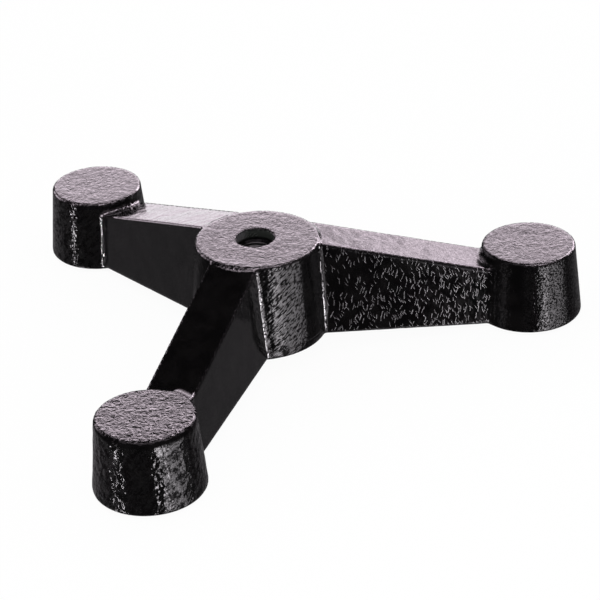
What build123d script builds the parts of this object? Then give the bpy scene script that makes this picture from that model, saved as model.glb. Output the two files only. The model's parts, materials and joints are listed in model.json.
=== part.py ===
from build123d import *
import math
import os

# Three-legged cast iron base for an upright post. Millimetres, +Z up.
# The origin is on the floor, straight below the middle of the post hole. +X runs along the right leg.

# Layout of the whole base
LEG_ANGLES = {"right": 0, "back": 120, "front": 240}
FOOT_CIRCLE_RADIUS = 93.0
CASTING_LIFT = 1.0  # how far the rubber pads hold the iron off the floor

# Hub: a tall drum that widens towards the floor so that it leaves the sand mould
HUB_TOP_Z = 40.0
HUB_BOTTOM_Z = 6.0
HUB_TOP_RADIUS = 20.7
HUB_DRAFT = 0.083  # extra radius per mm of depth
HUB_RIM_ROUNDING = 0.5
HUB_SKIRT_HEIGHT = 3.2  # below the mould's parting line the side turns inwards
HUB_SKIRT_INSET = 0.6

# Feet: three lower drums of the same kind
FOOT_TOP_Z = 26.1
FOOT_TOP_RADIUS = 15.8
FOOT_DRAFT = 0.09
FOOT_RIM_ROUNDING = 0.8
FOOT_BASE_ROUNDING = 1.5

# Arms: straight tapered bars. The inner end is at the hub's side, the outer end at the foot's side.
ARM_INNER_X = 20.0
ARM_OUTER_X = 77.0
ARM_INNER_TOP_Z = 39.5
ARM_OUTER_TOP_Z = 22.4
ARM_INNER_BOTTOM_Z = 6.6
ARM_OUTER_BOTTOM_Z = 2.0
ARM_INNER_TOP_WIDTH = 16.4
ARM_OUTER_TOP_WIDTH = 16.2
ARM_DRAFT = 0.087  # extra half-width per mm of depth
ARM_OVERLAP = 8.0  # how far each end runs on inside the hub and the foot
ARM_TOP_ROUNDING = 0.8
ARM_BASE_ROUNDING = 1.2

# Post hole: a plain seat for a 12 mm post, then a hole tapped M10 right through the hub
POST_SEAT_RADIUS = 6.25
POST_SEAT_DEPTH = 4.0
TAPPED_HOLE_RADIUS = 4.25  # tapping size for M10 x 1.5

# Rubber pads: a disc in a shallow recess under each foot, held by its own stem in a blind hole
PAD_RADIUS = 13.8
PAD_EDGE_CHAMFER = 0.6
PAD_SIDE_GAP = 0.2
RECESS_DEPTH = 2.0
STEM_RADIUS = 3.0
STEM_LENGTH = 8.0
STEM_SIDE_GAP = 0.05
STEM_END_GAP = 1.0
GRIP_GROOVE_RADIUS = 9.0
GRIP_GROOVE_WIDTH = 1.6
GRIP_GROOVE_DEPTH = 0.8

CUT_MARGIN = 1.0  # how far a cutting tool runs out past the face it opens


def turned(profile_points):
    """A solid of revolution about the Z axis from (radius, height) points."""
    return revolve(Plane.XZ * make_face(Polyline(*profile_points, close=True)), Axis.Z)


def upright_cylinder(radius, bottom_z, top_z):
    """A cylinder on the Z axis between two heights."""
    middle = (bottom_z + top_z) / 2
    return Pos(0, 0, middle) * Cylinder(radius, top_z - bottom_z)


def circles_at(shape, height):
    """The round edges of a turned shape that lie at one height."""
    return shape.edges().filter_by(GeomType.CIRCLE).filter_by_position(Axis.Z, height, height)


def hub_blank():
    """The hub before drilling: drafted side, rounded top rim and a skirt under the parting line."""
    skirt_top_z = HUB_BOTTOM_Z + HUB_SKIRT_HEIGHT
    widest_radius = HUB_TOP_RADIUS + HUB_DRAFT * (HUB_TOP_Z - skirt_top_z)
    blank = turned([
        (0, HUB_BOTTOM_Z),
        (widest_radius - HUB_SKIRT_INSET, HUB_BOTTOM_Z),
        (widest_radius, skirt_top_z),
        (HUB_TOP_RADIUS, HUB_TOP_Z),
        (0, HUB_TOP_Z),
    ])
    return fillet(circles_at(blank, HUB_TOP_Z), HUB_RIM_ROUNDING)


def foot_blank():
    """One foot drum standing on the Z axis, before the pad recess is cut."""
    bottom_radius = FOOT_TOP_RADIUS + FOOT_DRAFT * (FOOT_TOP_Z - CASTING_LIFT)
    blank = turned([
        (0, CASTING_LIFT),
        (bottom_radius, CASTING_LIFT),
        (FOOT_TOP_RADIUS, FOOT_TOP_Z),
        (0, FOOT_TOP_Z),
    ])
    blank = fillet(circles_at(blank, FOOT_TOP_Z), FOOT_RIM_ROUNDING)
    return fillet(circles_at(blank, CASTING_LIFT), FOOT_BASE_ROUNDING)


def along_arm(inner_value, outer_value, x):
    """A size that changes evenly from the arm's inner end to its outer end."""
    share = (x - ARM_INNER_X) / (ARM_OUTER_X - ARM_INNER_X)
    return inner_value + (outer_value - inner_value) * share


def arm_section(x):
    """The four corners of the arm's cross-section at x, wider at the bottom by the draft."""
    top_z = along_arm(ARM_INNER_TOP_Z, ARM_OUTER_TOP_Z, x)
    bottom_z = along_arm(ARM_INNER_BOTTOM_Z, ARM_OUTER_BOTTOM_Z, x)
    half_top = along_arm(ARM_INNER_TOP_WIDTH, ARM_OUTER_TOP_WIDTH, x) / 2
    half_bottom = half_top + ARM_DRAFT * (top_z - bottom_z)
    return [
        (x, -half_bottom, bottom_z),
        (x, half_bottom, bottom_z),
        (x, half_top, top_z),
        (x, -half_top, top_z),
    ]


def lengthwise_edges(bar):
    """The edges that run the arm's whole length, lowest first."""
    visible_length = ARM_OUTER_X - ARM_INNER_X
    return bar.edges().filter_by(lambda edge: edge.length > visible_length).sort_by(Axis.Z)


def arm_blank():
    """One arm along +X with flat faces and rounded long edges, trimmed level inside the hub."""
    inner = arm_section(ARM_INNER_X - ARM_OVERLAP)
    outer = arm_section(ARM_OUTER_X + ARM_OVERLAP)
    outlines = [inner[::-1], outer]
    for corner in range(4):
        following = (corner + 1) % 4
        outlines.append([inner[corner], inner[following], outer[following], outer[corner]])
    bar = Solid(Shell([Face(Wire.make_polygon(outline)) for outline in outlines]))
    bottom_pair = lengthwise_edges(bar)[:2]
    bar = bar.fillet(ARM_BASE_ROUNDING, bottom_pair)
    top_pair = lengthwise_edges(bar)[-2:]
    bar = bar.fillet(ARM_TOP_ROUNDING, top_pair)
    trim = Box(2 * ARM_OVERLAP, 2 * ARM_INNER_TOP_WIDTH, ARM_OVERLAP)
    return bar - Pos(ARM_INNER_X, 0, ARM_INNER_TOP_Z + ARM_OVERLAP / 2) * trim


def on_leg(angle, shape):
    """Moves a shape from the Z axis to the foot of the leg at this angle."""
    return Rot(0, 0, angle) * Pos(FOOT_CIRCLE_RADIUS, 0, 0) * shape


def post_hole():
    """What the drill and tap remove from the hub: the tapped hole and the wider seat above it."""
    seat_floor_z = HUB_TOP_Z - POST_SEAT_DEPTH
    tapped = upright_cylinder(TAPPED_HOLE_RADIUS, HUB_BOTTOM_Z - CUT_MARGIN, seat_floor_z + CUT_MARGIN)
    seat = upright_cylinder(POST_SEAT_RADIUS, seat_floor_z, HUB_TOP_Z + CUT_MARGIN)
    return tapped + seat


def pad_socket():
    """What is cored out under one foot: the recess for the pad's disc and the hole for its stem."""
    ceiling_z = CASTING_LIFT + RECESS_DEPTH
    recess = upright_cylinder(PAD_RADIUS + PAD_SIDE_GAP, CASTING_LIFT - CUT_MARGIN, ceiling_z)
    hole_top_z = ceiling_z + STEM_LENGTH + STEM_END_GAP
    hole = upright_cylinder(STEM_RADIUS + STEM_SIDE_GAP, ceiling_z - CUT_MARGIN, hole_top_z)
    return recess + hole


def base_casting():
    """Hub, arms and feet as one casting, with the post hole and the three pad sockets."""
    casting = hub_blank()
    arm = arm_blank()
    foot = foot_blank()
    for angle in LEG_ANGLES.values():
        casting = casting + Rot(0, 0, angle) * arm + on_leg(angle, foot)
    casting = casting - post_hole()
    for angle in LEG_ANGLES.values():
        casting = casting - on_leg(angle, pad_socket())
    return casting.solid()


def foot_pad():
    """One rubber pad standing on the Z axis: chamfered disc, grip groove and stem."""
    disc_top_z = CASTING_LIFT + RECESS_DEPTH
    disc = upright_cylinder(PAD_RADIUS, 0, disc_top_z)
    disc = chamfer(circles_at(disc, 0), PAD_EDGE_CHAMFER)
    half_width = GRIP_GROOVE_WIDTH / 2
    groove_outer = upright_cylinder(GRIP_GROOVE_RADIUS + half_width, -CUT_MARGIN, GRIP_GROOVE_DEPTH)
    groove_inner = upright_cylinder(GRIP_GROOVE_RADIUS - half_width, -CUT_MARGIN, GRIP_GROOVE_DEPTH)
    stem = upright_cylinder(STEM_RADIUS, disc_top_z - CUT_MARGIN, disc_top_z + STEM_LENGTH)
    stem = chamfer(circles_at(stem, disc_top_z + STEM_LENGTH), PAD_EDGE_CHAMFER)
    pad = disc - (groove_outer - groove_inner) + stem
    return pad.solid()


os.makedirs("parts", exist_ok=True)
export_step(base_casting(), "parts/base_casting.step")
for leg_name, leg_angle in LEG_ANGLES.items():
    export_step(on_leg(leg_angle, foot_pad()), f"parts/foot_pad_{leg_name}.step")
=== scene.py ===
import json
import math

import bpy
import numpy as np
from mathutils import Matrix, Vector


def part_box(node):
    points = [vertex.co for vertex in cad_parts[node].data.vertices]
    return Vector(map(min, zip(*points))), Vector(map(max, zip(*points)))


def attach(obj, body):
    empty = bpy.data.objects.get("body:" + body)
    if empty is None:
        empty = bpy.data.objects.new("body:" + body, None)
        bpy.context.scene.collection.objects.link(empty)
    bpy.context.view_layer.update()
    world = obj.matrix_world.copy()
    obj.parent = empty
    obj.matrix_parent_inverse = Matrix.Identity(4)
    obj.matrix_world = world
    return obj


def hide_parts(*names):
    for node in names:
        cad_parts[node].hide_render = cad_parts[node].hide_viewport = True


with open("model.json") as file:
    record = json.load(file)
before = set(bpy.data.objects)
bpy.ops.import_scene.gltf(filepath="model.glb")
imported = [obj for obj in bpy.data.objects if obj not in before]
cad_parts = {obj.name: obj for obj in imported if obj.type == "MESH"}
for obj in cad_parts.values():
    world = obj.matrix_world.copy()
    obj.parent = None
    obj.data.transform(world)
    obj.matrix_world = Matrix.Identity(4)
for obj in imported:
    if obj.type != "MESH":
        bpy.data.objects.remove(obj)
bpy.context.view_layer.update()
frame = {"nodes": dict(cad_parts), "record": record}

# Cast iron post base with three legs. Shapes are worked out in millimetres and placed in metres.
# The frame gives the post hole, the legs, the heights and the pads. The rest is named here.
MM = 0.001

MOUNTS = {mount["name"]: mount for mount in frame["record"]["mounts"]}
CASTING_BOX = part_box("base_casting")
HUB_TOP_Z = CASTING_BOX[1].z / MM
FOOT_BOTTOM_Z = CASTING_BOX[0].z / MM

# Hub
HUB_BOTTOM_Z = 6.0
HUB_TOP_RADIUS = 20.7
HUB_DRAFT = 0.083
HUB_RIM_ROUNDING = 0.55
HUB_BASE_ROUNDING = 0.6
PARTING_Z = 9.2
PARTING_ROUNDING = 0.3
SKIRT_INSET = 0.6
HUB_LEAN = (0.6, -0.8)  # how far the top of the drum is off the post hole's axis, from casting

# Feet
FOOT_TOP_Z = 26.1
FOOT_TOP_RADIUS = 15.8
FOOT_DRAFT = 0.09
FOOT_RIM_ROUNDING = 0.7
FOOT_BASE_ROUNDING = 1.3
WORN_FOOT_ROUNDING = 0.9  # extra rounding on the front foot's front rim

# Arms, as distances from the post hole's axis and heights
ARM_INNER_X = 20.0
ARM_OUTER_X = 77.0
ARM_INNER_TOP_Z = 39.5
ARM_OUTER_TOP_Z = 22.4
ARM_INNER_BOTTOM_Z = 6.6
ARM_OUTER_BOTTOM_Z = 2.0
ARM_INNER_TOP_WIDTH = 16.4
ARM_OUTER_TOP_WIDTH = 16.2
ARM_DRAFT = 0.087
ARM_OVERLAP = 10.0
ARM_TOP_ROUNDING = 0.6
ARM_BASE_ROUNDING = 1.1

# Where the arms run into the drums
HUB_FILLET = 0.55
HUB_FILLET_GROWTH = 0.45  # extra radius for each millimetre below the arm's top
SHARP_FILLET = 0.35
FOOT_FILLET = 1.0
FOOT_TOP_FILLET = 1.5
FRONT_FOOT_TOP_FILLET = 6.2
WIDEST_LUMPY_FILLET = 2.0

# Post hole and pad sockets
SEAT_RADIUS = MOUNTS["post_seat"]["dims"]["r_mm"]
SEAT_DEPTH = MOUNTS["post_seat"]["dims"]["length_mm"]
SEAT_FLOOR_Z = HUB_TOP_Z - SEAT_DEPTH
MOUTH_ROUNDING = 0.35
THREAD_MINOR_RADIUS = MOUNTS["post_thread"]["dims"]["r_mm"]
THREAD_PITCH = 1.5
THREAD_DEPTH = 0.75
THREAD_HOLE_RADIUS = THREAD_MINOR_RADIUS + THREAD_DEPTH + 0.15
THREAD_HOLE_ROUNDING = 0.15
SLEEVE_SUNK = 0.4  # how far the thread's sleeve reaches into the iron around it
RECESS_TOP_Z = 3.0
RECESS_SIDE_GAP = 0.2
RECESS_ROUNDING = 0.2
STEM_HOLE_RADIUS = 3.05
STEM_HOLE_TOP_Z = 12.0
STEM_HOLE_ROUNDING = 0.1

# Directions that a surface faces, in degrees from the front, growing to the right. The enamel on
# the hub and on the right foot is dull to the left of their bands, and the hub's is calm to the right.
HUB_BAND_START = -15.0
HUB_BAND_END = 36.0
FOOT_BAND_START = -20.0

# Mesh
GRID_STEP = 0.76
SEARCH_STEPS = 3
FLATTEST_KEPT = 0.08  # directions weaker than this share of the strongest one count as flat
SETTLING_ROUNDS = 2


def leg_angles():
    """The direction of each leg about the post hole, from the feet's places in the record."""
    feet = [mount for name, mount in MOUNTS.items() if name.startswith("foot_rest")]
    return [math.atan2(mount["pos_m"][1], mount["pos_m"][0]) for mount in feet]


def foot_circle_radius():
    return math.hypot(*MOUNTS["foot_rest_right"]["pos_m"][:2]) / MM


def pad_radius():
    low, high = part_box("foot_pad_right")
    return (high.x - low.x) / 2 / MM


LEGS = leg_angles()
RIGHT_LEG, FRONT_LEG = 0, 2  # their places among the legs
FOOT_X = foot_circle_radius()
PAD_RADIUS = pad_radius()


# ---------------------------------------------------------------- distance fields

def smooth_step(value, low, high):
    share = np.clip((value - low) / (high - low), 0, 1)
    return share * share * (3 - 2 * share)


def round_max(a, b, radius):
    """Where two shapes overlap, with their shared edge rounded off."""
    corner = np.hypot(np.maximum(a + radius, 0), np.maximum(b + radius, 0))
    return np.minimum(np.maximum(a, b), -radius) + corner


def round_min(a, b, radius):
    """Two shapes joined, with a hollow fillet between them."""
    corner = np.hypot(np.maximum(radius - a, 0), np.maximum(radius - b, 0))
    return np.maximum(np.minimum(a, b), radius) - corner


def sloped(value, slope):
    """Makes a height difference from a sloping face into a distance from it."""
    return value / math.sqrt(1 + slope * slope)


def hub_field(points):
    """The hub: a leaning drafted drum with a skirt that turns inwards below the parting line."""
    z = points[..., 2]
    share = (z - HUB_BOTTOM_Z) / (HUB_TOP_Z - HUB_BOTTOM_Z)
    away = np.hypot(points[..., 0] - HUB_LEAN[0] * share, points[..., 1] - HUB_LEAN[1] * share)
    side = sloped(away - (HUB_TOP_RADIUS + HUB_DRAFT * (HUB_TOP_Z - z)), HUB_DRAFT)
    widest = HUB_TOP_RADIUS + HUB_DRAFT * (HUB_TOP_Z - PARTING_Z)
    skirt_slope = SKIRT_INSET / (PARTING_Z - HUB_BOTTOM_Z)
    skirt = sloped(away - (widest - skirt_slope * (PARTING_Z - z)), skirt_slope)
    body = round_max(side, skirt, PARTING_ROUNDING)
    body = round_max(body, z - HUB_TOP_Z, HUB_RIM_ROUNDING)
    return round_max(body, HUB_BOTTOM_Z - z, HUB_BASE_ROUNDING)


def foot_field(points, x, y, which):
    """The drum foot of the nearest leg. The front foot's front rim is worn rounder."""
    z = points[..., 2]
    away = np.hypot(x - FOOT_X, y)
    forward = FOOT_X * np.sin(np.array(LEGS))[which] - points[..., 1]
    worn = smooth_step(forward, 0.1 * FOOT_TOP_RADIUS, 0.8 * FOOT_TOP_RADIUS) * (which == FRONT_LEG)
    side = sloped(away - (FOOT_TOP_RADIUS + FOOT_DRAFT * (FOOT_TOP_Z - z)), FOOT_DRAFT)
    body = round_max(side, z - FOOT_TOP_Z, FOOT_RIM_ROUNDING + WORN_FOOT_ROUNDING * worn)
    return round_max(body, FOOT_BOTTOM_Z - z, FOOT_BASE_ROUNDING)


def along_arm(inner, outer, x):
    """A size that changes evenly from the arm's inner end to its outer end."""
    return inner + (outer - inner) * (x - ARM_INNER_X) / (ARM_OUTER_X - ARM_INNER_X)


def arm_field(x, y, z):
    """The arm of the nearest leg: a drafted bar that runs on inside the hub and the foot."""
    length = ARM_OUTER_X - ARM_INNER_X
    top_z = along_arm(ARM_INNER_TOP_Z, ARM_OUTER_TOP_Z, x)
    bottom_z = along_arm(ARM_INNER_BOTTOM_Z, ARM_OUTER_BOTTOM_Z, x)
    half_width = along_arm(ARM_INNER_TOP_WIDTH, ARM_OUTER_TOP_WIDTH, x) / 2
    top = sloped(z - top_z, (ARM_INNER_TOP_Z - ARM_OUTER_TOP_Z) / length)
    bottom = sloped(bottom_z - z, (ARM_INNER_BOTTOM_Z - ARM_OUTER_BOTTOM_Z) / length)
    side = sloped(np.abs(y) - half_width - ARM_DRAFT * (top_z - z), ARM_DRAFT)
    body = round_max(side, top, ARM_TOP_ROUNDING)
    body = round_max(body, bottom, ARM_BASE_ROUNDING)
    ends = np.maximum(ARM_INNER_X - ARM_OVERLAP - x, x - ARM_OUTER_X - ARM_OVERLAP)
    return np.maximum(np.maximum(body, ends), z - ARM_INNER_TOP_Z)


def turned_to_leg(points, angle):
    """Coordinates with x running out along the leg at this angle."""
    c, s = math.cos(angle), math.sin(angle)
    x, y, z = points[..., 0], points[..., 1], points[..., 2]
    return x * c + y * s, y * c - x * s, z


def nearest_leg(points):
    """Leg coordinates of each point for the leg it is nearest to, and which leg that is."""
    legs = [turned_to_leg(points, angle) for angle in LEGS]
    outward = np.stack([leg[0] for leg in legs])
    sideways = np.stack([leg[1] for leg in legs])
    which = outward.argmax(0)
    x = np.take_along_axis(outward, which[None], 0)[0]
    y = np.take_along_axis(sideways, which[None], 0)[0]
    return x, y, points[..., 2], which


def fillet_sizes(x, y, z, which):
    """The hollow radius between an arm and the hub, and between an arm and its foot."""
    at_hub = np.clip((ARM_INNER_TOP_Z - z) * HUB_FILLET_GROWTH, SHARP_FILLET, HUB_FILLET)
    over_arm = z - along_arm(ARM_INNER_TOP_Z, ARM_OUTER_TOP_Z, x)
    ramped = smooth_step(y, -2.0, 3.0) * (which == FRONT_LEG)
    at_top = FOOT_TOP_FILLET + (FRONT_FOOT_TOP_FILLET - FOOT_TOP_FILLET) * ramped
    at_foot = FOOT_FILLET + (at_top - FOOT_FILLET) * smooth_step(over_arm, -2.5, 0.5)
    return at_hub, at_foot


def casting_field(points):
    """Distance in millimetres to the casting's surface, negative inside the iron."""
    x, y, z, which = nearest_leg(points)
    at_hub, at_foot = fillet_sizes(x, y, z, which)
    body = round_min(hub_field(points), arm_field(x, y, z), at_hub)
    body = round_min(body, foot_field(points, x, y, which), at_foot)
    away = np.hypot(x, y)
    seat = np.maximum(away - SEAT_RADIUS, SEAT_FLOOR_Z - z)
    body = round_max(body, -seat, MOUTH_ROUNDING)
    body = round_max(body, THREAD_HOLE_RADIUS - away, THREAD_HOLE_ROUNDING)
    foot_away = np.hypot(x - FOOT_X, y)
    recess = np.maximum(foot_away - PAD_RADIUS - RECESS_SIDE_GAP, z - RECESS_TOP_Z)
    stem_hole = np.maximum(foot_away - STEM_HOLE_RADIUS, z - STEM_HOLE_TOP_Z)
    body = round_max(body, -recess, RECESS_ROUNDING)
    return round_max(body, -stem_hole, STEM_HOLE_ROUNDING)


def slope_of(field, points, reach=0.02):
    """Unit outward normals of a field."""
    normals = np.empty_like(points)
    for axis in range(3):
        shift = np.zeros(3)
        shift[axis] = reach
        normals[:, axis] = field(points + shift) - field(points - shift)
    return normals / np.maximum(np.linalg.norm(normals, axis=1), 1e-9)[:, None]


# ---------------------------------------------------------------- field to mesh

def sampled(field, axes):
    """The field's values on a grid, one slice at a time."""
    values = np.empty([len(axis) for axis in axes], np.float64)
    flat_y, flat_z = np.meshgrid(axes[1], axes[2], indexing="ij")
    for i, x in enumerate(axes[0]):
        values[i] = field(np.stack([np.full_like(flat_y, x), flat_y, flat_z], -1))
    return values


def surface_on_edges(field, start, axis, start_value, end_value):
    """The place where each grid edge that starts here passes through the surface."""
    low = np.zeros(len(start))
    high = np.ones(len(start))
    low_value, high_value = start_value.copy(), end_value.copy()
    for _ in range(SEARCH_STEPS):
        share = low + (high - low) * low_value / (low_value - high_value)
        points = start.copy()
        points[:, axis] += share * GRID_STEP
        value = field(points)
        same = (value < 0) == (low_value < 0)
        low, low_value = np.where(same, share, low), np.where(same, value, low_value)
        high, high_value = np.where(same, high, share), np.where(same, high_value, value)
    return points


def crossings(field, axes, values, axis):
    """Grid edges along one axis that pass through the surface: lower corner, point, normal, way out."""
    below = [slice(None)] * 3
    above = [slice(None)] * 3
    below[axis] = slice(None, -1)
    above[axis] = slice(1, None)
    first, second = values[tuple(below)], values[tuple(above)]
    corners = np.argwhere((first < 0) != (second < 0))
    index = tuple(corners.T)
    start = np.stack([axes[k][corners[:, k]] for k in range(3)], 1)
    points = surface_on_edges(field, start, axis, first[index], second[index])
    return corners, points, slope_of(field, points), first[index] < 0


def best_corners(total, rows, targets, weights, points):
    """One vertex for each cell: the point that fits all the faces that cross the cell."""
    squares = np.zeros((total, 3, 3))
    sums = np.zeros((total, 3))
    middle = np.zeros((total, 3))
    count = np.bincount(rows, minlength=total).astype(float)
    for i in range(3):
        middle[:, i] = np.bincount(rows, points[:, i], total) / count
        sums[:, i] = np.bincount(rows, weights[:, i] * targets, total)
        for j in range(3):
            squares[:, i, j] = np.bincount(rows, weights[:, i] * weights[:, j], total)
    sums -= np.einsum("nij,nj->ni", squares, middle)
    strength, directions = np.linalg.eigh(squares)
    keep = strength > FLATTEST_KEPT * strength[:, -1:]
    inverse = np.where(keep, 1 / np.where(keep, strength, 1), 0)
    spread = np.einsum("nji,nj->ni", directions, sums) * inverse
    return middle + np.einsum("nij,nj->ni", directions, spread)


def mesh_of_field(field, low, high):
    """Closed quads on the surface of a field inside a box, with crisp edges kept."""
    axes = [np.arange(low[k], high[k] + GRID_STEP, GRID_STEP) for k in range(3)]
    values = sampled(field, axes)
    cells = np.array(values.shape) - 1
    unit = np.eye(3, dtype=int)
    rows, points, normals, quads = [], [], [], []
    for axis in range(3):
        corners, at, normal, leaving = crossings(field, axes, values, axis)
        b, c = unit[(axis + 1) % 3], unit[(axis + 2) % 3]
        around = [corners - b - c, corners - c, corners, corners - b]
        numbers = np.stack([np.ravel_multi_index(tuple(cell.T), cells) for cell in around], 1)
        quads.append(np.where(leaving[:, None], numbers, numbers[:, ::-1]))
        for k in range(4):
            rows.append(numbers[:, k])
            points.append(at)
            normals.append(normal)
    used, compact = np.unique(np.concatenate(rows), return_inverse=True)
    points, normals = np.concatenate(points), np.concatenate(normals)
    targets = np.einsum("ni,ni->n", points, normals)
    vertices = best_corners(len(used), compact, targets, normals, points)
    corner = np.stack(np.unravel_index(used, cells), 1) * GRID_STEP + np.array(low)
    vertices = np.clip(vertices, corner, corner + GRID_STEP)
    quads = np.searchsorted(used, np.concatenate(quads))
    return vertices, quads


def settled(field, vertices, quads):
    """Evens out the spacing of the vertices while they stay on the surface."""
    ends = np.concatenate([quads[:, [k, (k + 1) % 4]] for k in range(4)])
    ends = np.concatenate([ends, ends[:, ::-1]])
    first, second = ends.T
    count = np.bincount(first, minlength=len(vertices))[:, None]
    for _ in range(SETTLING_ROUNDS):
        sums = [np.bincount(first, vertices[second, k], len(vertices)) for k in range(3)]
        normal = slope_of(field, vertices)
        move = (np.stack(sums, 1) / count - vertices) / 2
        move -= normal * np.einsum("ni,ni->n", move, normal)[:, None]
        vertices = vertices + move
        vertices = vertices - slope_of(field, vertices) * field(vertices)[:, None]
    return vertices


# ---------------------------------------------------------------- casting texture

RANDOM = np.random.default_rng(11)
TABLE_SIZE = 4096
DIRECTIONS = RANDOM.normal(size=(TABLE_SIZE, 3))
DIRECTIONS /= np.linalg.norm(DIRECTIONS, axis=1)[:, None]
SCATTER = RANDOM.random((TABLE_SIZE, 3))
BUMP_SPREAD = 0.32  # width of a rounded bump, as a share of its cube


def drawn(cells, seed):
    """A fixed row of the random tables for each lattice cell. The large numbers only mix the bits."""
    mixed = cells[:, 0] * 73856093 ^ cells[:, 1] * 19349663 ^ cells[:, 2] * 83492791 ^ seed * 26544357
    mixed = (mixed ^ mixed >> 13) * 1274126177
    return (mixed ^ mixed >> 16) & (TABLE_SIZE - 1)


def waves(points, size, height, seed):
    """Smooth noise with features of one size, up to about 0.7 of a height either way, in millimetres."""
    scaled = points / size
    base = np.floor(scaled).astype(np.int64)
    inside = scaled - base
    ease = inside ** 3 * (inside * (inside * 6 - 15) + 10)
    total = np.zeros(len(points))
    for corner in np.ndindex(2, 2, 2):
        step = np.array(corner)
        gradient = DIRECTIONS[drawn(base + step, seed)]
        share = np.prod(np.where(step, ease, 1 - ease), axis=1)
        total += share * np.einsum("ni,ni->n", gradient, inside - step)
    return total * height


def bumps(points, size, height, seed, squeezed=1.0):
    """Separate rounded bumps, about one in each cube of a size. Squeezed heights draw them out upright."""
    scaled = points * np.array([1, 1, squeezed]) / size
    base = np.floor(scaled).astype(np.int64)
    nearest = np.full(len(points), 9.0)
    for corner in np.ndindex(3, 3, 3):
        cells = base + np.array(corner) - 1
        offset = cells + SCATTER[drawn(cells, seed)] - scaled
        nearest = np.minimum(nearest, np.einsum("ni,ni->n", offset, offset))
    return np.exp(-nearest / (2 * BUMP_SPREAD * BUMP_SPREAD)) * height


def in_fillet(a, b, radius):
    """1 in the middle of the fillet between two surfaces, where both are 0.29 of its radius away."""
    return np.clip(np.minimum(a, b) / (0.29 * radius), 0, 1) * (np.maximum(a, b) < 1.1 * radius)


def fillet_share(points, hub, arm, foot):
    """Nearness to the middle of a fillet, on the hub and on the left feet, whose fillets are lumpy."""
    x, y, z, which = nearest_leg(points)
    at_hub, at_foot = fillet_sizes(x, y, z, which)
    on_feet = in_fillet(foot, arm, np.minimum(at_foot, WIDEST_LUMPY_FILLET)) * (which != RIGHT_LEG)
    return np.maximum(in_fillet(hub, arm, at_hub), on_feet)


def edge_share(points, normals):
    """Nearness to an outer edge of the casting, other than the post hole's mouth."""
    edge = smooth_step(casting_field(points - normals * 0.9) + 0.9, 0.05, 0.4)
    away = np.hypot(points[:, 0], points[:, 1])
    return edge * smooth_step(away, SEAT_RADIUS + 1.5, SEAT_RADIUS + 3.0)


def corner_share(points, normals):
    """Nearness to an inside corner, where another surface stands close in front of this one."""
    return smooth_step(-(casting_field(points + normals * 3.0) - 3.0), 0.2, 1.6)


def hole_shares(points):
    """What lies inside the post hole, its seat wall coloured as unpainted iron with painted light, and the
    dull rest with the mouth's edge.
    """
    away = np.hypot(points[:, 0], points[:, 1])
    z = points[:, 2]
    in_hole = (away < SEAT_RADIUS + 0.5) & (z < HUB_TOP_Z - 0.2)
    seat = in_hole * smooth_step(z, SEAT_FLOOR_Z + 0.8, SEAT_FLOOR_Z + 1.6)
    mouth = (away < SEAT_RADIUS + 0.45) & (z > HUB_TOP_Z - 1.0)
    return in_hole, seat, np.maximum(in_hole * (1 - seat), mouth)


def facing_past(normals, angle, soft):
    """1 where a surface faces further to the right than an angle from the front, in degrees."""
    facing = np.degrees(np.arctan2(normals[:, 0], -normals[:, 1]))
    return smooth_step(facing, angle - soft, angle + soft)


def regions(points, normals):
    """How much each vertex belongs to each kind of surface, and how far along its arm it is.

    Only the open surfaces, which are on the outside, get any relief.
    """
    x, y, z, which = nearest_leg(points)
    hub, arm, foot = hub_field(points), arm_field(x, y, z), foot_field(points, x, y, which)
    on_arm = smooth_step(np.minimum(hub, foot) - arm, -0.5, 1.5)
    on_hub = (hub < foot) * (1 - on_arm)
    on_foot = (foot < hub) * (1 - on_arm)
    upright = 1 - smooth_step(np.abs(normals[:, 2]), 0.3, 0.7)
    under = smooth_step(-normals[:, 2], 0.3, 0.7)
    level = smooth_step(normals[:, 2], 0.84, 0.96)
    in_hole, seat, hole_shade = hole_shares(points)

    calm = on_hub * facing_past(normals, HUB_BAND_END, 3) * upright
    worn_rim = smooth_step(z, FOOT_TOP_Z - 2.0, FOOT_TOP_Z - 1.4) * (1 - level) * (which == FRONT_LEG)
    foot_shade = (which == RIGHT_LEG) * (1 - facing_past(normals, FOOT_BAND_START, 5))
    hub_shade = on_hub * (1 - facing_past(normals, HUB_BAND_START, 5)) * upright
    dull_foot = on_foot * np.maximum(worn_rim, foot_shade)
    return {
        "hammered": on_arm * upright * smooth_step(np.abs(normals[:, 1]), 0.7, 0.9),
        "arm": on_arm,
        "top": level,
        "edge": edge_share(points, normals),
        "corner": corner_share(points, normals),
        "fillet": fillet_share(points, hub, arm, foot) * upright,
        "hub": on_hub,
        "calm": calm,
        "coarse": on_foot * (which == FRONT_LEG),
        "fine": on_foot * (which == RIGHT_LEG),
        "dull": np.maximum.reduce([dull_foot, hub_shade, hole_shade, 0.5 * calm]),
        "seat": seat,
        "open": np.where(in_hole | (under > 0.5), 0.0, 1.0),
        "along": x,
    }


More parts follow.
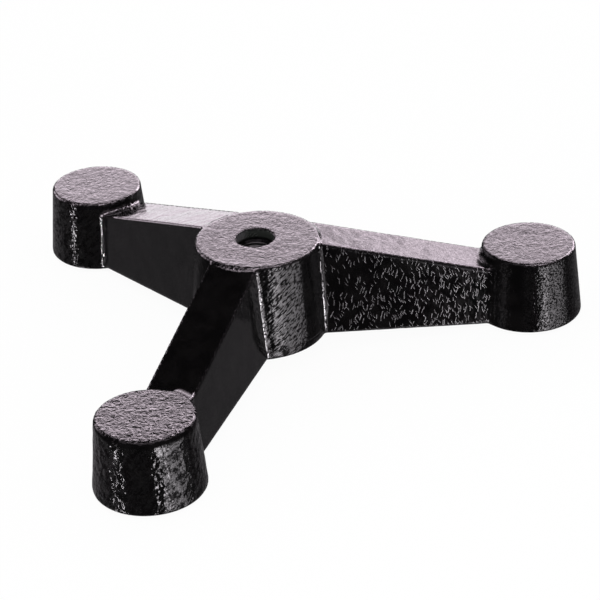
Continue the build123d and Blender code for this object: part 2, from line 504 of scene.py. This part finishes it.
def relief(points, part):
    """How far the sand and the thick enamel move each vertex outwards, in millimetres."""
    drum_side = (1 - part["top"]) * (1 - part["arm"])
    broad = waves(points, 9.0, 0.10, seed=3) + waves(points, 4.5, 0.07, seed=4)
    hammered = bumps(points, 2.3, 0.02, seed=6) - bumps(points, 2.9, 0.02, seed=5)
    beads = bumps(points, 1.9, 0.45, seed=8, squeezed=0.45) - 0.1
    drips = bumps(points, 1.7, 0.50, seed=12, squeezed=0.6) - 0.15
    chips = bumps(points, 2.2, 0.18, seed=9) - 0.072
    lift = broad * (0.4 + 0.6 * part["top"] - 0.25 * part["hammered"])
    lift += hammered * part["hammered"]
    lift += waves(points, 2.6, 0.10, seed=7) * part["top"]
    lift += beads * part["corner"] * drum_side
    lift += drips * part["fillet"]
    lift += chips * part["edge"] * (1 - part["arm"])
    lift += waves(points, 3.4, 0.16, seed=10) * part["coarse"] * (1 - part["top"])
    return lift * part["open"]


def mesh_object(name, vertices, faces):
    """A smooth-shaded piece from vertices in millimetres."""
    mesh = bpy.data.meshes.new(name)
    mesh.from_pydata((np.asarray(vertices) * MM).tolist(), [], np.asarray(faces).tolist())
    mesh.update()
    mesh.polygons.foreach_set("use_smooth", [True] * len(mesh.polygons))
    piece = bpy.data.objects.new(name, mesh)
    bpy.context.scene.collection.objects.link(piece)
    return piece


def build_casting():
    """Hub, arms and feet as one closed mesh, with its regions kept as attributes for the enamel."""
    margin = 1.5 * GRID_STEP
    low = [CASTING_BOX[0][k] / MM - margin for k in range(3)]
    high = [CASTING_BOX[1][k] / MM + margin for k in range(3)]
    vertices, quads = mesh_of_field(casting_field, low, high)
    vertices = settled(casting_field, vertices, quads)
    normals = slope_of(casting_field, vertices, 0.25)
    part = regions(vertices, normals)
    vertices = vertices + normals * relief(vertices, part)[:, None]
    piece = mesh_object("base_casting_iron", vertices, quads)
    for name, values in part.items():
        attribute = piece.data.attributes.new("part_" + name, "FLOAT", "POINT")
        attribute.data.foreach_set("value", values.astype(np.float32))
    return piece


# ---------------------------------------------------------------- thread

THREAD_BOTTOM_Z = HUB_BOTTOM_Z + 0.4
THREAD_TOP_Z = SEAT_FLOOR_Z - 0.25
THREAD_SIDES = 72
LEVELS_PER_TURN = 10
LEAD_IN = 1.2  # length over which the thread fades out at the bottom
LEAD_OUT = 0.9  # and at the top


def ring_of(radius, angles, z):
    """One level ring of vertices, with one radius or with a radius for each angle."""
    return np.stack([radius * np.cos(angles), radius * np.sin(angles), np.full(len(angles), z)], 1).tolist()


def thread_radius(angles, z):
    """The inner wall's radius at each angle: a helix with sloping flanks, faded out at both ends."""
    turn = (z / THREAD_PITCH - angles / (2 * math.pi)) % 1
    flank = np.clip(np.abs(turn - 0.5) * 2.5 - 0.1, 0, 1)
    ends = min(1, (z - THREAD_BOTTOM_Z) / LEAD_IN, (THREAD_TOP_Z - z) / LEAD_OUT)
    return THREAD_MINOR_RADIUS + THREAD_DEPTH * (1 - (1 - flank) * ends)


def build_thread():
    """The cut thread inside the hub: a thin sleeve whose inner wall follows the helix."""
    length = THREAD_TOP_Z - THREAD_BOTTOM_Z
    levels = int(length / THREAD_PITCH * LEVELS_PER_TURN)
    angles = np.arange(THREAD_SIDES) * 2 * math.pi / THREAD_SIDES
    vertices = []
    for level in range(levels + 1):
        z = THREAD_BOTTOM_Z + length * level / levels
        vertices += ring_of(thread_radius(angles, z), angles, z)
    for z in (THREAD_TOP_Z, THREAD_BOTTOM_Z):
        vertices += ring_of(THREAD_HOLE_RADIUS + SLEEVE_SUNK, angles, z)
    rings = len(vertices) // THREAD_SIDES
    faces = []
    for ring in range(rings):
        here = ring * THREAD_SIDES
        above = (ring + 1) % rings * THREAD_SIDES
        for k in range(THREAD_SIDES):
            n = (k + 1) % THREAD_SIDES
            faces.append([here + k, above + k, above + n, here + n])
    return mesh_object("post_thread_cut", vertices, faces)


# ---------------------------------------------------------------- materials

# How strongly the enamel mirrors its surroundings, as an index of refraction. A pair runs from the
# dull specks to the bright ones.
CREASE_GLOSS = 1.34
TOP_GLOSS = (1.44, 1.64)
FOOT_GLOSS = (1.13, 1.84)
FINE_FOOT_GLOSS = (1.06, 1.78)
HUB_GLOSS = (1.10, 1.72)
DULL_GLOSS = 1.12
ARM_GLOSS = (1.38, 1.64)
ARM_TOP_GLOSS_LOSS = 0.09
BETWEEN_DASHES_GLOSS = 1.20
DASH_GLOSS = (1.95, 2.8)  # this pair runs from the hub to the foot
POOLED_GLOSS = 9.0

# Distances along an arm between which its dashes grow brighter and closer together, in millimetres
DASHES_FROM_X = 25.0
DASHES_TO_X = 78.0

BLACK_ENAMEL = ((0.0022, 0.0020, 0.0022, 1), (0.0040, 0.0036, 0.0038, 1))
# Seat iron: its grey partly stands in for a painted reflection, and the lighter grey is painted light.
BARE_IRON_AND_PAINTED_LIGHT = ((0.030, 0.033, 0.030, 1), (0.085, 0.082, 0.085, 1))
RUBBER = ((0.016, 0.016, 0.016, 1), (0.042, 0.040, 0.037, 1))
# Near black: painted shade down in the post hole's thread.
CUT_IRON_PAINTED_SHADE = ((0.007, 0.007, 0.007, 1), (0.016, 0.016, 0.015, 1))


class Graph:
    """A short way to write shader nodes."""

    def __init__(self, tree):
        self.tree = tree
        tree.nodes.clear()

    def node(self, kind, inputs=None, **settings):
        made = self.tree.nodes.new(kind)
        for key, value in settings.items():
            setattr(made, key, value)
        for key, value in (inputs or {}).items():
            if isinstance(value, bpy.types.NodeSocket):
                self.tree.links.new(value, made.inputs[key])
            else:
                made.inputs[key].default_value = value
        return made

    def math(self, operation, *values):
        return self.node("ShaderNodeMath", dict(enumerate(values)), operation=operation).outputs[0]

    def vector_math(self, operation, inputs):
        return self.node("ShaderNodeVectorMath", inputs, operation=operation).outputs[0]

    def joined(self, operation, values):
        result = values[0]
        for value in values[1:]:
            result = self.math(operation, result, value)
        return result

    def total(self, *values):
        return self.joined("ADD", values)

    def product(self, *values):
        return self.joined("MULTIPLY", values)

    def brightest(self, *values):
        return self.joined("MAXIMUM", values)

    def inverse(self, share):
        return self.math("SUBTRACT", 1.0, share)

    def ramp(self, value, low, high, start=0.0, end=1.0):
        """Runs smoothly from start to end while the value goes from low to high."""
        inputs = {"Value": value, "From Min": low, "From Max": high, "To Min": start, "To Max": end}
        return self.node("ShaderNodeMapRange", inputs, interpolation_type="SMOOTHSTEP").outputs[0]

    def band(self, value, low, high, soft):
        """1 between low and high, with soft ends."""
        rise = self.ramp(value, low - soft, low + soft)
        fall = self.ramp(value, high - soft, high + soft, 1.0, 0.0)
        return self.product(rise, fall)

    def profile(self, value, points):
        """A value that follows straight lines between (place, height) points."""
        first, last = points[0][0], points[-1][0]
        highest = max(height for _, height in points)
        share = self.node("ShaderNodeMapRange", {"Value": value, "From Min": first, "From Max": last})
        ramp = self.node("ShaderNodeValToRGB", {"Fac": share.outputs[0]})
        stops = ramp.color_ramp.elements
        while len(stops) < len(points):
            stops.new(0.5)
        for stop, (place, height) in zip(stops, points):
            stop.position = (place - first) / (last - first)
        for stop, (place, height) in zip(stops, points):
            level = height / highest
            stop.color = (level, level, level, 1)
        return self.product(ramp.outputs["Color"], highest)

    def place(self):
        return self.node("ShaderNodeTexCoord").outputs["Object"]

    def axes_of(self, vector):
        return self.node("ShaderNodeSeparateXYZ", {"Vector": vector}).outputs

    def noise(self, vector, size, detail=2.0, roughness=0.5):
        """Cloudy noise from 0 to 1 with features of a size in millimetres."""
        inputs = {"Vector": vector, "Scale": 1 / (size * MM), "Detail": detail, "Roughness": roughness}
        return self.node("ShaderNodeTexNoise", inputs).outputs["Fac"]

    def cells(self, vector, size, feature):
        inputs = {"Vector": vector, "Scale": 1 / (size * MM)}
        return self.node("ShaderNodeTexVoronoi", inputs, feature=feature).outputs["Distance"]

    def stretched(self, vector, turn, share):
        """Turns a place about the Y axis and squeezes its height, to draw patterns out one way."""
        inputs = {"Vector": vector, "Angle": math.radians(turn)}
        turned = self.node("ShaderNodeVectorRotate", inputs, rotation_type="Y_AXIS").outputs[0]
        return self.vector_math("MULTIPLY", {0: turned, 1: (1, 1, share)})

    def warped(self, vector, size, reach):
        """Pushes places about by up to a reach in millimetres, so that patterns run in curves."""
        inputs = {"Vector": vector, "Scale": 1 / (size * MM), "Detail": 0.0}
        colour = self.node("ShaderNodeTexNoise", inputs).outputs["Color"]
        centred = self.vector_math("SUBTRACT", {0: colour, 1: (0.5, 0.5, 0.5)})
        moved = self.vector_math("SCALE", {0: centred, "Scale": 2 * reach * MM})
        return self.vector_math("ADD", {0: vector, 1: moved})

    def from_middle(self, value):
        """How far a noise is from its middle value, 0 along winding lines."""
        return self.math("ABSOLUTE", self.math("SUBTRACT", value, 0.5))

    def attribute(self, name):
        return self.node("ShaderNodeAttribute", attribute_name=name).outputs["Fac"]

    def layer(self, pattern, height, share=1.0):
        """A pattern that stands a height in millimetres proud where the share is 1."""
        return self.product(pattern, height, share)

    def blend(self, share, first, second):
        inputs = {"Factor": share, "A": first, "B": second}
        return self.node("ShaderNodeMix", inputs, data_type="FLOAT").outputs["Result"]

    def blend_colours(self, share, first, second):
        inputs = {"Factor": share, "A": first, "B": second}
        return self.node("ShaderNodeMix", inputs, data_type="RGBA").outputs["Result"]

    def surface(self, colour, roughness, height, more):
        """Ends a material: its colour, its roughness, its bumps in millimetres, and further inputs."""
        bump = self.node("ShaderNodeBump", {"Strength": 1.0, "Distance": MM, "Height": height})
        inputs = {"Base Color": colour, "Roughness": roughness, "Normal": bump.outputs["Normal"], **more}
        shader = self.node("ShaderNodeBsdfPrincipled", inputs)
        self.node("ShaderNodeOutputMaterial", {"Surface": shader.outputs[0]})


def new_material(name):
    material = bpy.data.materials.new(name)
    material.use_nodes = True
    return material, Graph(material.node_tree)


def creased_place(graph, place):
    return graph.warped(place, 2.2, 0.9)


def brushed_place(graph, place, share):
    """Draws patterns out along the slanting brush strokes on the hub's side."""
    return graph.stretched(place, -50, share)


def top_islands(graph, place):
    """0 along thin curly lines on the level faces, 1 on the smooth islands between them."""
    lines = graph.from_middle(graph.noise(creased_place(graph, place), 1.9, 2.0, 0.55))
    return graph.ramp(lines, 0.0, 0.05)


def top_height(graph, place, arm, islands):
    """Leathery skin of the level faces: smooth islands between creases, fine grain and low blisters."""
    curled = creased_place(graph, place)
    skin = graph.noise(place, 0.5, 2.0, 0.6)
    swell = graph.noise(curled, 1.5, 2.0, 0.5)
    blister = graph.cells(place, 1.6, "SMOOTH_F1")
    wrinkle = graph.from_middle(graph.noise(curled, 3.4, 2.0, 0.6))
    height = graph.total(
        graph.layer(skin, 0.07),
        graph.layer(islands, 0.035),
        graph.layer(swell, 0.20),
        graph.layer(blister, 0.06),
        graph.layer(wrinkle, 1.0, graph.attribute("part_coarse")),
    )
    return graph.product(height, graph.blend(arm, 1.0, 0.2))


def side_height(graph, place, arm):
    """Sides of the drums: orange peel, with fine grain, facets or brush strokes on one drum each."""
    peel = graph.noise(place, 1.5, 1.0, 0.5)
    fine = graph.noise(place, 0.5, 2.0, 0.6)
    facet = graph.cells(graph.warped(place, 3.0, 0.8), 1.9, "F1")
    streak = graph.noise(brushed_place(graph, place, 0.2), 0.6, 2.0, 0.6)
    height = graph.total(
        graph.layer(peel, 0.17),
        graph.layer(fine, 0.06, graph.attribute("part_fine")),
        graph.layer(facet, 0.20, graph.attribute("part_coarse")),
        graph.layer(streak, 0.09, graph.attribute("part_hub")),
    )
    lively = graph.blend(graph.attribute("part_calm"), 1.0, 0.3)
    return graph.product(height, lively, graph.blend(arm, 1.0, 0.12))


def leaning_dashes(graph, place, lean, size, least, most):
    """Small ridges drawn out in one direction. Between a least and a most share of them stands proud."""
    axes = graph.axes_of(graph.stretched(graph.warped(place, 4.0, 1.0), lean, 0.21))
    flat = graph.node("ShaderNodeCombineXYZ", {"X": axes["X"], "Y": axes["Z"]}).outputs[0]
    inputs = {"Vector": flat, "Scale": 1 / (size * MM)}
    ridges = graph.node("ShaderNodeTexVoronoi", inputs, voronoi_dimensions="2D", feature="F1").outputs
    lot = graph.node("ShaderNodeSeparateColor", {"Color": ridges["Color"]}).outputs[0]
    along = graph.attribute("part_along")
    limit = graph.ramp(along, DASHES_FROM_X, DASHES_TO_X, 1 - least, 1 - most)
    chosen = graph.ramp(graph.math("SUBTRACT", lot, limit), -0.02, 0.02)
    ridge = graph.ramp(ridges["Distance"], 0.04, 0.23, 0.11, 0.0)
    return graph.product(ridge, chosen)


def dashes_height(graph, place):
    """The right arm's faces: two sets of leaning dashes, closer together towards the foot."""
    height = graph.total(
        leaning_dashes(graph, place, lean=24, size=0.95, least=0.55, most=0.95),
        leaning_dashes(graph, place, lean=-16, size=1.10, least=0.45, most=0.95),
    )
    return graph.product(height, graph.attribute("part_hammered"))


def parting_height(graph, place):
    """A shallow groove around the hub where the two halves of the mould met."""
    line = graph.band(graph.axes_of(place)["Z"], (PARTING_Z - 0.2) * MM, (PARTING_Z + 0.3) * MM, 0.2 * MM)
    return graph.layer(line, -0.2, graph.attribute("part_hub"))


def enamel_height(graph, place, top, arm, islands, dashes):
    """All the fine relief of the enamel together, with lumps where it has pooled in the fillets."""
    skin = graph.blend(top, side_height(graph, place, arm), top_height(graph, place, arm, islands))
    lumps = graph.noise(graph.stretched(place, 0, 0.6), 0.8, 1.0)
    lumps = graph.layer(lumps, 0.4, graph.attribute("part_fillet"))
    return graph.total(skin, dashes, parting_height(graph, place), lumps)


def enamel_colour(graph, place, patch, seat):
    """Black enamel, and unpainted iron in the post's seat, whose grey is partly a painted reflection and is
    made brighter on the left as painted light.
    """
    black = graph.blend_colours(graph.ramp(patch, 0.35, 0.65), *BLACK_ENAMEL)
    # Painted light: the seat's iron turns lighter towards the left side of the hole.
    painted_left_light = graph.ramp(graph.axes_of(place)["X"], -1.0 * MM, -4.0 * MM)
    seat_iron_and_painted_light = graph.blend_colours(painted_left_light, *BARE_IRON_AND_PAINTED_LIGHT)
    return graph.blend_colours(seat, black, seat_iron_and_painted_light)


def enamel_roughness(graph, patch, seat):
    """Smooth enamel, a little rougher along its edges, and much rougher iron in the seat."""
    enamel = graph.total(
        graph.ramp(patch, 0.3, 0.7, 0.05, 0.11),
        graph.product(graph.attribute("part_edge"), 0.05),
    )
    return graph.blend(seat, enamel, 0.4)


def drum_gloss(graph, place, speck, top, islands):
    """Gloss of hub and feet: matt lines between glossy islands on top, bright specks on the sides."""
    grain = graph.noise(graph.warped(place, 1.5, 0.6), 1.15, 2.0, 0.55)
    on_top = graph.blend(islands, CREASE_GLOSS, graph.ramp(grain, 0.38, 0.60, *TOP_GLOSS))
    blotch = graph.noise(brushed_place(graph, place, 0.5), 1.6, 2.0, 0.6)
    mixed = graph.total(graph.product(speck, 0.5), graph.product(blotch, 0.5))
    on_side = graph.ramp(mixed, 0.43, 0.57, *FOOT_GLOSS)
    on_fine = graph.ramp(speck, 0.42, 0.58, *FINE_FOOT_GLOSS)
    on_side = graph.blend(graph.attribute("part_fine"), on_side, on_fine)
    brushed = graph.noise(brushed_place(graph, place, 0.18), 0.5, 2.0, 0.6)
    on_hub = graph.ramp(brushed, 0.42, 0.54, *HUB_GLOSS)
    on_side = graph.blend(graph.attribute("part_hub"), on_side, on_hub)
    gloss = graph.blend(top, on_side, on_top)
    return graph.blend(graph.attribute("part_dull"), gloss, DULL_GLOSS)


def arm_gloss(graph, speck, top, dashes):
    """Gloss of the arms: even on the plain faces, and in bright dashes on the hammered ones."""
    plain = graph.total(graph.ramp(speck, 0.36, 0.64, *ARM_GLOSS), graph.product(top, -ARM_TOP_GLOSS_LOSS))
    bright = graph.ramp(graph.attribute("part_along"), DASHES_FROM_X, DASHES_TO_X, *DASH_GLOSS)
    dashed = graph.blend(graph.ramp(dashes, 0.002, 0.03), BETWEEN_DASHES_GLOSS, bright)
    return graph.blend(graph.attribute("part_hammered"), plain, dashed)


def enamel_gloss(graph, place, top, arm, islands, dashes):
    """Gloss of the whole casting. The enamel that has pooled in the fillets shines brightest, in spots."""
    speck = graph.noise(place, 0.55, 3.0, 0.65)
    on_drums = drum_gloss(graph, place, speck, top, islands)
    gloss = graph.blend(arm, on_drums, arm_gloss(graph, speck, top, dashes))
    spots = graph.ramp(graph.noise(place, 0.9, 2.0), 0.42, 0.48)
    pooled = graph.product(graph.ramp(graph.attribute("part_fillet"), 0.15, 0.5), spots)
    return graph.blend(pooled, gloss, POOLED_GLOSS)


def enamel_material():
    """Thick gloss-black enamel that pools in the corners, with a different skin on each kind of surface."""
    material, graph = new_material("black_enamel")
    place = graph.place()
    top = graph.attribute("part_top")
    arm = graph.ramp(graph.attribute("part_arm"), 0.2, 0.8)
    seat = graph.attribute("part_seat")
    islands = top_islands(graph, place)
    dashes = dashes_height(graph, place)
    patch = graph.noise(place, 6.0, 3.0, 0.6)
    colour = enamel_colour(graph, place, patch, seat)
    roughness = enamel_roughness(graph, patch, seat)
    height = enamel_height(graph, place, top, arm, islands, dashes)
    gloss = enamel_gloss(graph, place, top, arm, islands, dashes)
    graph.surface(colour, roughness, height, {"IOR": gloss})
    return material


def rubber_material():
    """Matt moulded rubber with a faint grain and dusty patches."""
    material, graph = new_material("moulded_rubber")
    place = graph.place()
    grain = graph.noise(place, 0.35, 3.0, 0.6)
    dust = graph.noise(place, 5.0, 4.0, 0.6)
    colour = graph.blend_colours(graph.ramp(dust, 0.4, 0.75), *RUBBER)
    roughness = graph.ramp(dust, 0.3, 0.7, 0.62, 0.8)
    graph.surface(colour, roughness, graph.layer(grain, 0.04), {"IOR": 1.5})
    return material


def cut_iron_material():
    """Threads cut into the iron after casting, coloured near black as painted shade down in the post hole.
    """
    material, graph = new_material("cut_iron")
    place = graph.place()
    patch = graph.noise(place, 2.0, 3.0, 0.6)
    # Painted shade: the thread's colour is kept near black.
    colour = graph.blend_colours(graph.ramp(patch, 0.35, 0.65), *CUT_IRON_PAINTED_SHADE)
    roughness = graph.ramp(patch, 0.3, 0.7, 0.35, 0.55)
    tool_marks = graph.layer(graph.noise(place, 0.3), 0.02)
    graph.surface(colour, roughness, tool_marks, {"Metallic": 0.2})
    return material


# ---------------------------------------------------------------- studio

# Light on the soft boxes is seen by glossy rays alone. Azimuths are in degrees from straight in front
# of the object, growing to the right, and elevations in degrees above the floor.
WHITE_STRENGTH = 1.04
DARKEST_STRENGTH = 0.01
LIGHT_FROM_BELOW = (1.0, 0.95, 1.0, 1)
LIGHT_FROM_ABOVE = (1.0, 0.86, 0.965, 1)
PURE_WHITE = (1, 1, 1, 1)


def sky_angles(graph, direction):
    """Azimuth and elevation of each direction, in degrees."""
    degrees = 180 / math.pi
    axes = graph.axes_of(direction)
    azimuth = graph.math("ARCTAN2", axes["X"], graph.product(axes["Y"], -1.0))
    elevation = graph.math("ARCSINE", axes["Z"])
    return graph.product(azimuth, degrees), graph.product(elevation, degrees)


def back_wall(graph, azimuth, elevation, mottle):
    """A wide wall behind the base that the level faces mirror, with a gap for the front arm's left edge."""
    bright = graph.profile(elevation, [
        (3, 0), (7, 3.2), (12, 3.9), (20, 4.4), (27, 3.8),
        (31, 2.9), (35, 1.7), (39, 0.6), (44, 0.05), (50, 0),
    ])
    behind = graph.ramp(graph.math("ABSOLUTE", azimuth), 95.0, 125.0)
    beside_gap = graph.inverse(graph.band(azimuth, -169.0, -152.0, 2.0))
    uneven = graph.ramp(mottle, 0.35, 0.65, 0.55, 1.45)
    return graph.product(bright, behind, beside_gap, uneven)


def low_wall(graph, azimuth, elevation):
    """The foot of the wall straight behind the base, which the back arm's top mirrors."""
    right_half = graph.ramp(azimuth, 148.0, 160.0)
    left_half = graph.ramp(azimuth, -172.0, -166.0, 1.0, 0.0)
    behind = graph.brightest(right_half, left_half)
    return graph.product(graph.band(elevation, -7.0, 8.0, 4.0), behind, 2.75)


def right_panel(graph, azimuth, elevation, mottle):
    """A patchy panel at the front right that gives the hub and the feet their bright bands."""
    bright = graph.profile(azimuth, [
        (15, 0), (17, 6.0), (24, 4.5), (31, 2.0), (60, 1.7), (70, 1.3), (77, 0),
    ])
    patchy = graph.ramp(mottle, 0.42, 0.60, 0.45, 1.5)
    return graph.product(bright, graph.band(elevation, -66.0, -2.0, 5.0), patchy)


def left_strip(graph, azimuth, elevation):
    """A narrow, very bright strip on the left."""
    bright = graph.profile(azimuth, [(-72.6, 0), (-71.8, 18), (-71.0, 18), (-70.2, 0)])
    return graph.product(bright, graph.band(elevation, -66.0, 40.0, 6.0))


def front_fill(graph, azimuth, elevation):
    """A weak fill light over the whole front."""
    in_front = graph.ramp(graph.math("ABSOLUTE", azimuth), 60.0, 110.0, 1.0, 0.0)
    return graph.product(in_front, graph.band(elevation, 8.0, 36.0, 6.0), 0.3)


def ceiling_panel(graph, azimuth, elevation):
    """A bright panel above the front half."""
    in_front = graph.ramp(graph.math("ABSOLUTE", azimuth), 84.0, 98.0, 1.0, 0.0)
    return graph.product(in_front, graph.band(elevation, 52.0, 86.0, 3.0), 5.0)


def high_strip(graph, azimuth, elevation):
    """A tall, very bright strip at the back right, which the rounded rims mirror on their right side."""
    across = graph.band(azimuth, 122.0, 146.0, 2.0)
    return graph.product(across, graph.band(elevation, 13.0, 55.0, 2.0), 14.0)


def floor_glow(graph, azimuth, elevation):
    """The floor in the upright faces: nearly black in front, dark grey at the sides and behind."""
    bright = graph.profile(azimuth, [
        (-180, 0.20), (-130, 0.19), (-109, 0.125), (-85, 0.10),
        (-40, 0.03), (40, 0.03), (95, 0.05), (122, 0.14), (180, 0.15),
    ])
    return graph.product(bright, graph.ramp(elevation, -3.0, 3.0, 1.0, 0.0))


def soft_boxes(graph, direction, azimuth, elevation):
    """The brightness of the studio in each direction, as glossy surfaces see it."""
    inputs = {"Vector": direction, "Scale": 13.0, "Detail": 3.0, "Roughness": 0.6}
    mottle = graph.node("ShaderNodeTexNoise", inputs).outputs["Fac"]
    brightest = graph.brightest(
        back_wall(graph, azimuth, elevation, mottle),
        right_panel(graph, azimuth, elevation, mottle),
        low_wall(graph, azimuth, elevation),
        left_strip(graph, azimuth, elevation),
        front_fill(graph, azimuth, elevation),
        ceiling_panel(graph, azimuth, elevation),
        high_strip(graph, azimuth, elevation),
        floor_glow(graph, azimuth, elevation),
    )
    return graph.total(brightest, DARKEST_STRENGTH)


def studio_world():
    """White to the camera and to matt surfaces, and a set of soft boxes to glossy ones."""
    world = bpy.data.worlds.new("studio")
    bpy.context.scene.world = world
    world.use_nodes = True
    graph = Graph(world.node_tree)
    direction = graph.node("ShaderNodeTexCoord").outputs["Generated"]
    azimuth, elevation = sky_angles(graph, direction)
    glossy = graph.node("ShaderNodeLightPath").outputs["Is Glossy Ray"]
    strength = graph.blend(glossy, WHITE_STRENGTH, soft_boxes(graph, direction, azimuth, elevation))
    tint = graph.blend_colours(graph.ramp(elevation, -3.0, 3.0), LIGHT_FROM_BELOW, LIGHT_FROM_ABOVE)
    colour = graph.blend_colours(glossy, PURE_WHITE, tint)
    background = graph.node("ShaderNodeBackground", {"Color": colour, "Strength": strength})
    graph.node("ShaderNodeOutputWorld", {"Surface": background.outputs[0]})
    world.cycles.sampling_method = "NONE"


def floor_material():
    """Nearly white with a faint shadow, and left out of the enamel's reflections."""
    material, graph = new_material("pale_floor")
    tone = graph.ramp(graph.noise(graph.place(), 300.0, 1.0), 0.0, 1.0, 0.99, 1.0)
    lit = graph.node("ShaderNodeBsdfDiffuse", {"Color": PURE_WHITE}).outputs[0]
    glow = graph.node("ShaderNodeEmission", {"Color": PURE_WHITE, "Strength": tone}).outputs[0]
    pale = graph.node("ShaderNodeMixShader", {0: 0.96, 1: lit, 2: glow}).outputs[0]
    clear = graph.node("ShaderNodeBsdfTransparent").outputs[0]
    glossy = graph.node("ShaderNodeLightPath").outputs["Is Glossy Ray"]
    mixed = graph.node("ShaderNodeMixShader", {0: glossy, 1: pale, 2: clear}).outputs[0]
    graph.node("ShaderNodeOutputMaterial", {"Surface": mixed})
    return material


def studio_floor():
    """A plain pale floor, 6 m square."""
    half = 3.0
    corners = [(-half, -half, 0), (half, -half, 0), (half, half, 0), (-half, half, 0)]
    mesh = bpy.data.meshes.new("floor")
    mesh.from_pydata(corners, [], [(0, 1, 2, 3)])
    floor = bpy.data.objects.new("floor", mesh)
    bpy.context.scene.collection.objects.link(floor)
    mesh.materials.append(floor_material())


def studio_camera():
    """Looks down on the base from the front, a little from the left, with the base left of the middle."""
    azimuth, elevation, roll = -6.87, 29.13, -3.33
    distance, target_z = 0.83115, 0.0158
    aim_right, aim_up = 0.957, 0.034
    data = bpy.data.cameras.new("camera")
    data.sensor_width = 36.0
    data.lens = 148.375
    data.clip_start = 0.01
    data.clip_end = 20.0
    camera = bpy.data.objects.new("camera", data)
    bpy.context.scene.collection.objects.link(camera)
    place = Matrix.Translation((0, 0, target_z))
    place @= Matrix.Rotation(math.radians(azimuth), 4, "Z")
    place @= Matrix.Rotation(math.radians(90 - elevation), 4, "X")
    place @= Matrix.Rotation(math.radians(roll), 4, "Z")
    place @= Matrix.Translation((0, 0, distance))
    place @= Matrix.Rotation(math.radians(-aim_right), 4, "Y")
    place @= Matrix.Rotation(math.radians(aim_up), 4, "X")
    camera.matrix_world = place
    bpy.context.scene.camera = camera


# ---------------------------------------------------------------- assembly

casting = build_casting()
casting.data.materials.append(enamel_material())
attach(casting, "root")
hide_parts("base_casting")

thread = build_thread()
thread.data.materials.append(cut_iron_material())
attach(thread, "root")

rubber = rubber_material()
for node_name, node in frame["nodes"].items():
    if node_name.startswith("foot_pad"):
        node.data.materials.clear()
        node.data.materials.append(rubber)

studio_world()
studio_floor()
studio_camera()
bpy.context.scene.view_settings.view_transform = "Standard"
